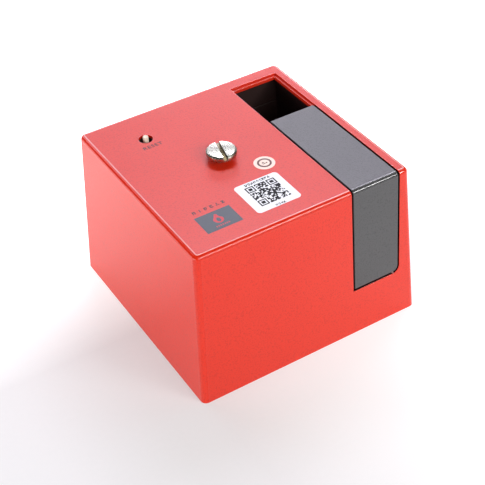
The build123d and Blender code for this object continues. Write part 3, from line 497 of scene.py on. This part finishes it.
# ---------------------------------------------------------------- captive screw
# Turned from brass bar and nickel plated: a slotted cheese head with a chamfered rim, a long plain shank, a
# groove for its retaining ring, and a short cut thread that bites in the wiring base.
SHANK_R = 2.8 * MM
GROOVE_R = 1.9 * MM
ROOT_R = 2.0 * MM
CREST_R = 2.4 * MM
HEAD_THICKNESS = 2.57 * MM
HEAD_CHAMFER = 0.75 * MM
HEAD_UNDERCUT = 0.35 * MM
BROKEN_EDGE = 0.09 * MM
RING_PLAY = 0.05 * MM
SLOT_WIDTH, SLOT_DEPTH, SLOT_ANGLE = 2.1 * MM, 1.4 * MM, math.radians(76.5)
THREAD_PITCH = 0.8 * MM
THREAD_LENGTH = 6.1 * MM
THREAD_HALF = 0.36 * MM     # half the ridge's height along the screw
THREAD_START = 0.4 * MM
TIP_CHAMFER = 0.8 * MM
SCREW_X = -10 * MM
SLOT_SHADE_SIDES = (1.12 * MM, 1.06 * MM)        # from the slot's middle: where the painted shade starts and is full
SLOT_SHADE_FLOOR = (90.25 * MM, 90.3 * MM)       # heights over the cover's rim, in the same order
SLOT_SHADE_TOP = (91.75 * MM, 91.3 * MM)
screw_low, screw_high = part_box("captive_screw")
screw_axis = (screw_low + screw_high) / 2
HEAD_R = (screw_high.x - screw_low.x) / 2
HEAD_BOTTOM = screw_high.z - HEAD_THICKNESS
ring_low, ring_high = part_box("screw_retaining_ring")

nickel, place = start_material("turned_nickel_plated_brass")
stain_and_shade_mask = noise(nickel, place, 1.5 * MM, 5.0, Roughness=0.7)
plate = blend(nickel, ramp(nickel, stain_and_shade_mask, 0.42, 0.58), "94988A", "C6C4B9")
gloss = ramp(nickel, stain_and_shade_mask, 0.4, 0.6, 0.34, 0.2)
centred = add(nickel, "Mapping", {"Vector": place, "Location": (-SCREW_X, 0, 0)}).outputs["Vector"]
along_slot = add(nickel, "VectorRotate", {"Vector": centred, "Angle": -SLOT_ANGLE}, rotation_type="Z_AXIS")
slot_place = axes(nickel, along_slot.outputs["Vector"])
# the slot's floor and walls are painted dark brass: painted shade inside the slot
slot_shade = ramp(nickel, calculate(nickel, "ABSOLUTE", slot_place["Y"]), *SLOT_SHADE_SIDES)
for limits in (SLOT_SHADE_FLOOR, SLOT_SHADE_TOP):
    slot_shade = calculate(nickel, "MULTIPLY", slot_shade, ramp(nickel, slot_place["Z"], *limits))
surface(nickel, blend(nickel, slot_shade, plate, "4E4730"), gloss, Metallic=1.0)


def turn(piece, steps):
    """Draws a turned profile on from the selected end face: each step is the next height and its radius."""
    for height, radius in steps:
        end = [v.co for v in bmesh.from_edit_mesh(piece.data).verts if v.select]
        here = end[0].z + piece.location.z
        now = end[0].xy.length
        bpy.ops.mesh.extrude_region_move(TRANSFORM_OT_translate={"value": (0, 0, height - here)})
        bpy.ops.transform.resize(
            value=(radius / now, radius / now, 1), center_override=(piece.location.x, piece.location.y, height))


bpy.ops.object.select_all(action="DESELECT")
bpy.ops.mesh.primitive_cylinder_add(
    vertices=96, radius=HEAD_R, depth=screw_high.z - HEAD_BOTTOM,
    location=(*screw_axis.xy, (screw_high.z + HEAD_BOTTOM) / 2))
screw = bpy.context.object
bpy.ops.object.mode_set(mode="EDIT")
bpy.ops.mesh.select_mode(type="FACE")
bpy.ops.mesh.select_all(action="DESELECT")
mesh = bmesh.from_edit_mesh(screw.data)
for face in mesh.faces:
    face.select = face.normal.z < -0.5
bmesh.update_edit_mesh(screw.data)
turn(screw, [
    (HEAD_BOTTOM, HEAD_R - HEAD_UNDERCUT),
    (HEAD_BOTTOM, SHANK_R),
    (ring_high.z + RING_PLAY, SHANK_R),
    (ring_high.z + RING_PLAY, GROOVE_R),
    (ring_low.z - RING_PLAY, GROOVE_R),
    (ring_low.z - RING_PLAY, ROOT_R),
    (screw_low.z + TIP_CHAMFER / 2, ROOT_R),
    (screw_low.z, ROOT_R - TIP_CHAMFER / 2),
])
bpy.ops.mesh.select_all(action="DESELECT")
mesh = bmesh.from_edit_mesh(screw.data)
for face in mesh.faces:
    face.select = face.normal.z > 0.5 and face.calc_center_median().z > 0
bmesh.update_edit_mesh(screw.data)
bpy.ops.mesh.region_to_loop()
bpy.ops.mesh.bevel(offset=HEAD_CHAMFER, segments=1)
bpy.ops.object.mode_set(mode="OBJECT")

bpy.ops.object.select_all(action="DESELECT")
bpy.ops.mesh.primitive_cube_add(size=1.0, location=(*screw_axis.xy, screw_high.z), rotation=(0, 0, SLOT_ANGLE))
cutter = bpy.context.object
cutter.scale = (4 * HEAD_R, SLOT_WIDTH, 2 * SLOT_DEPTH)
only(screw)
cut = screw.modifiers.new("slot", "BOOLEAN")
cut.object, cut.operation, cut.solver = cutter, "DIFFERENCE", "EXACT"
bpy.ops.object.modifier_apply(modifier=cut.name)
bpy.data.objects.remove(cutter)
broken = screw.modifiers.new("broken_edges", "BEVEL")
broken.width, broken.segments = BROKEN_EDGE, 2
broken.limit_method, broken.angle_limit = "ANGLE", math.radians(30)
bpy.ops.object.modifier_apply(modifier=broken.name)

# the thread: a three-sided ridge that climbs from the tip to the groove
bpy.ops.object.select_all(action="DESELECT")
bpy.ops.mesh.primitive_circle_add(vertices=3, radius=THREAD_PITCH, location=(*screw_axis.xy, 0))
thread = bpy.context.object
bpy.ops.object.mode_set(mode="EDIT")
mesh = bmesh.from_edit_mesh(thread.data)
sunk_r = ROOT_R - 0.1 * MM
for vertex, (radius, height) in zip(mesh.verts, ((CREST_R, 0.0), (sunk_r, THREAD_HALF), (sunk_r, -THREAD_HALF))):
    vertex.co = (radius, 0, screw_low.z + TIP_CHAMFER / 2 + THREAD_START + height)
bmesh.update_edit_mesh(thread.data)
bpy.ops.object.mode_set(mode="OBJECT")
climb = thread.modifiers.new("climb", "SCREW")
climb.screw_offset = THREAD_PITCH
climb.iterations = int((THREAD_LENGTH - TIP_CHAMFER - THREAD_START) / THREAD_PITCH)
climb.steps = climb.render_steps = 48
bpy.ops.object.modifier_apply(modifier=climb.name)
bpy.ops.object.mode_set(mode="EDIT")
bpy.ops.mesh.select_all(action="SELECT")
bpy.ops.mesh.fill_holes(sides=3)
bpy.ops.mesh.normals_make_consistent(inside=False)
bpy.ops.object.mode_set(mode="OBJECT")
only(screw)
thread.select_set(True)
bpy.ops.object.join()
bpy.ops.object.shade_smooth_by_angle(angle=math.radians(28))
settle(screw, "captive_screw_turned", nickel, "captive_screw")
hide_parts("captive_screw")

# ---------------------------------------------------------------- return spring of the reset rod
# A coil of six turns of bare spring wire between the cover's web and the rod's collar. It stays on the web.
spring_wire = nodes["reset_spring"].material_slots[0].material
WIRE_R = 0.25 * MM
SPRING_TURNS = 6
coil_low, coil_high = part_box("reset_spring")
coil_axis = (coil_low + coil_high) / 2
COIL_R = (coil_high.x - coil_low.x) / 2 - WIRE_R
bpy.ops.object.select_all(action="DESELECT")
bpy.ops.mesh.primitive_circle_add(
    vertices=12, radius=WIRE_R, location=(*coil_axis.xy, coil_low.z + WIRE_R), rotation=(math.radians(90), 0, 0))
coil = bpy.context.object
bpy.ops.object.transform_apply(location=False, rotation=True, scale=False)
bpy.ops.object.mode_set(mode="EDIT")
bpy.ops.mesh.select_all(action="SELECT")
bpy.ops.transform.translate(value=(COIL_R, 0, 0))
bpy.ops.object.mode_set(mode="OBJECT")
winding = coil.modifiers.new("winding", "SCREW")
winding.screw_offset = (coil_high.z - coil_low.z - 2.1 * WIRE_R) / SPRING_TURNS
winding.iterations = SPRING_TURNS
winding.steps = winding.render_steps = 40
bpy.ops.object.modifier_apply(modifier=winding.name)
bpy.ops.object.mode_set(mode="EDIT")
bpy.ops.mesh.select_all(action="SELECT")
bpy.ops.mesh.fill_holes(sides=12)
bpy.ops.mesh.normals_make_consistent(inside=False)
bpy.ops.object.mode_set(mode="OBJECT")
bpy.ops.object.shade_smooth_by_angle(angle=math.radians(40))
settle(coil, "reset_spring_wound", spring_wire, "housing")
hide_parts("reset_spring")
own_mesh(coil)

# ---------------------------------------------------------------- floor, light and camera
# Pale paper that glows more towards the rear and the right, so that it reaches white there. Large soft panels
# stand at the front, left and rear, smaller ones at the right, and narrow strips draw the bright edge lines.
GLOW_REAR = (0.0, 0.14, 0.4, 1.55)          # from and to this far back, and the glow at each
GLOW_RIGHT = (-0.06, 0.06, 0.0, 0.3)        # likewise to the right
FLOOR_SIZE = 12.0
FLOOR_GAP = 0.05 * MM
paper, place = start_material("white_paper")
tone = blend(paper, noise(paper, place, 2.5 * MM, 2.0), (0.48, 0.48, 0.48, 1), (0.50, 0.50, 0.50, 1))
sides = axes(paper, place)
glow = calculate(paper, "ADD", ramp(paper, sides["Y"], *GLOW_REAR), ramp(paper, sides["X"], *GLOW_RIGHT))
surface(paper, tone, 1.0, **{"Specular IOR Level": 0.0, "Emission Color": (1, 1, 1, 1), "Emission Strength": glow})
bpy.ops.object.select_all(action="DESELECT")
bpy.ops.mesh.primitive_plane_add(size=FLOOR_SIZE, location=(0, 0, cover_low.z - FLOOR_GAP))
floor = bpy.context.object
floor.name = "floor"
floor.data.materials.append(paper)

# each panel: its side of the object in degrees from the front, its height in degrees, width, height, watts and tint
PANELS = {
    "panel_front": (6, 30, 1.5, 0.9, 18.0, "FFFFFF"),
    "panel_left": (275, 8, 1.3, 0.6, 20.0, "FFFFFF"),
    "panel_right_rear_high": (140, 50, 1.2, 0.7, 5.5, "EEEEFF"),
    "panel_right_rear_low": (149, 20, 0.8, 0.4, 8.0, "F4F0FF"),
    "strip_right_rear": (136, 51, 1.2, 0.14, 12.0, "F4F0FF"),
    "strip_right_front": (33, 28, 0.6, 0.14, 10.0, "FFFFFF"),
    "panel_rear": (188, 30, 1.4, 0.8, 11.5, "EEEEFF"),
    "panel_right": (90, 50, 1.1, 0.8, 3.0, "FFFFFF"),
}
TENT_RADIUS = 1.9
AIM_HEIGHT = 0.05
for name, (side, height, width, tall, watts, tint) in PANELS.items():
    side, height = math.radians(side), math.radians(height)
    towards = Vector((math.sin(side) * math.cos(height), -math.cos(side) * math.cos(height), math.sin(height)))
    lamp = bpy.data.lights.new(name, "AREA")
    lamp.shape = "RECTANGLE"
    lamp.size, lamp.size_y = width, tall
    lamp.energy = watts
    lamp.color = colour(tint)[:3]
    panel = bpy.data.objects.new(name, lamp)
    panel.location = towards * TENT_RADIUS + Vector((0, 0, AIM_HEIGHT))
    panel.rotation_euler = (-towards).to_track_quat("-Z", "Y").to_euler()
    panel.visible_camera = False
    bpy.context.scene.collection.objects.link(panel)

tent = bpy.data.worlds.new("light_tent")
tent.use_nodes = True
backdrop = tent.node_tree.nodes["Background"]
backdrop.inputs["Color"].default_value = (1, 1, 1, 1)
backdrop.inputs["Strength"].default_value = 0.08
bpy.context.scene.world = tent
bpy.context.scene.view_settings.view_transform = "Standard"

LENS_MM, SENSOR_MM = 88.55, 36.0
CAMERA_PLACE = Vector((-0.2373, -0.4164, 0.4250))
AZIMUTH, ELEVATION, ROLL = (math.radians(a) for a in (-29.56, 39.61, -3.268))
back = Vector((
    math.sin(AZIMUTH) * math.cos(ELEVATION), -math.cos(AZIMUTH) * math.cos(ELEVATION), math.sin(ELEVATION)))
level = (-back).cross(Vector((0, 0, 1))).normalized()
upright = level.cross(-back)
right = level * math.cos(ROLL) + upright * math.sin(ROLL)
up = upright * math.cos(ROLL) - level * math.sin(ROLL)
lens = bpy.data.cameras.new("camera")
lens.lens = LENS_MM
lens.sensor_width = SENSOR_MM
camera = bpy.data.objects.new("camera", lens)
camera.matrix_world = Matrix((right, up, back)).transposed().to_4x4()
camera.location = CAMERA_PLACE
bpy.context.scene.collection.objects.link(camera)
bpy.context.scene.camera = camera
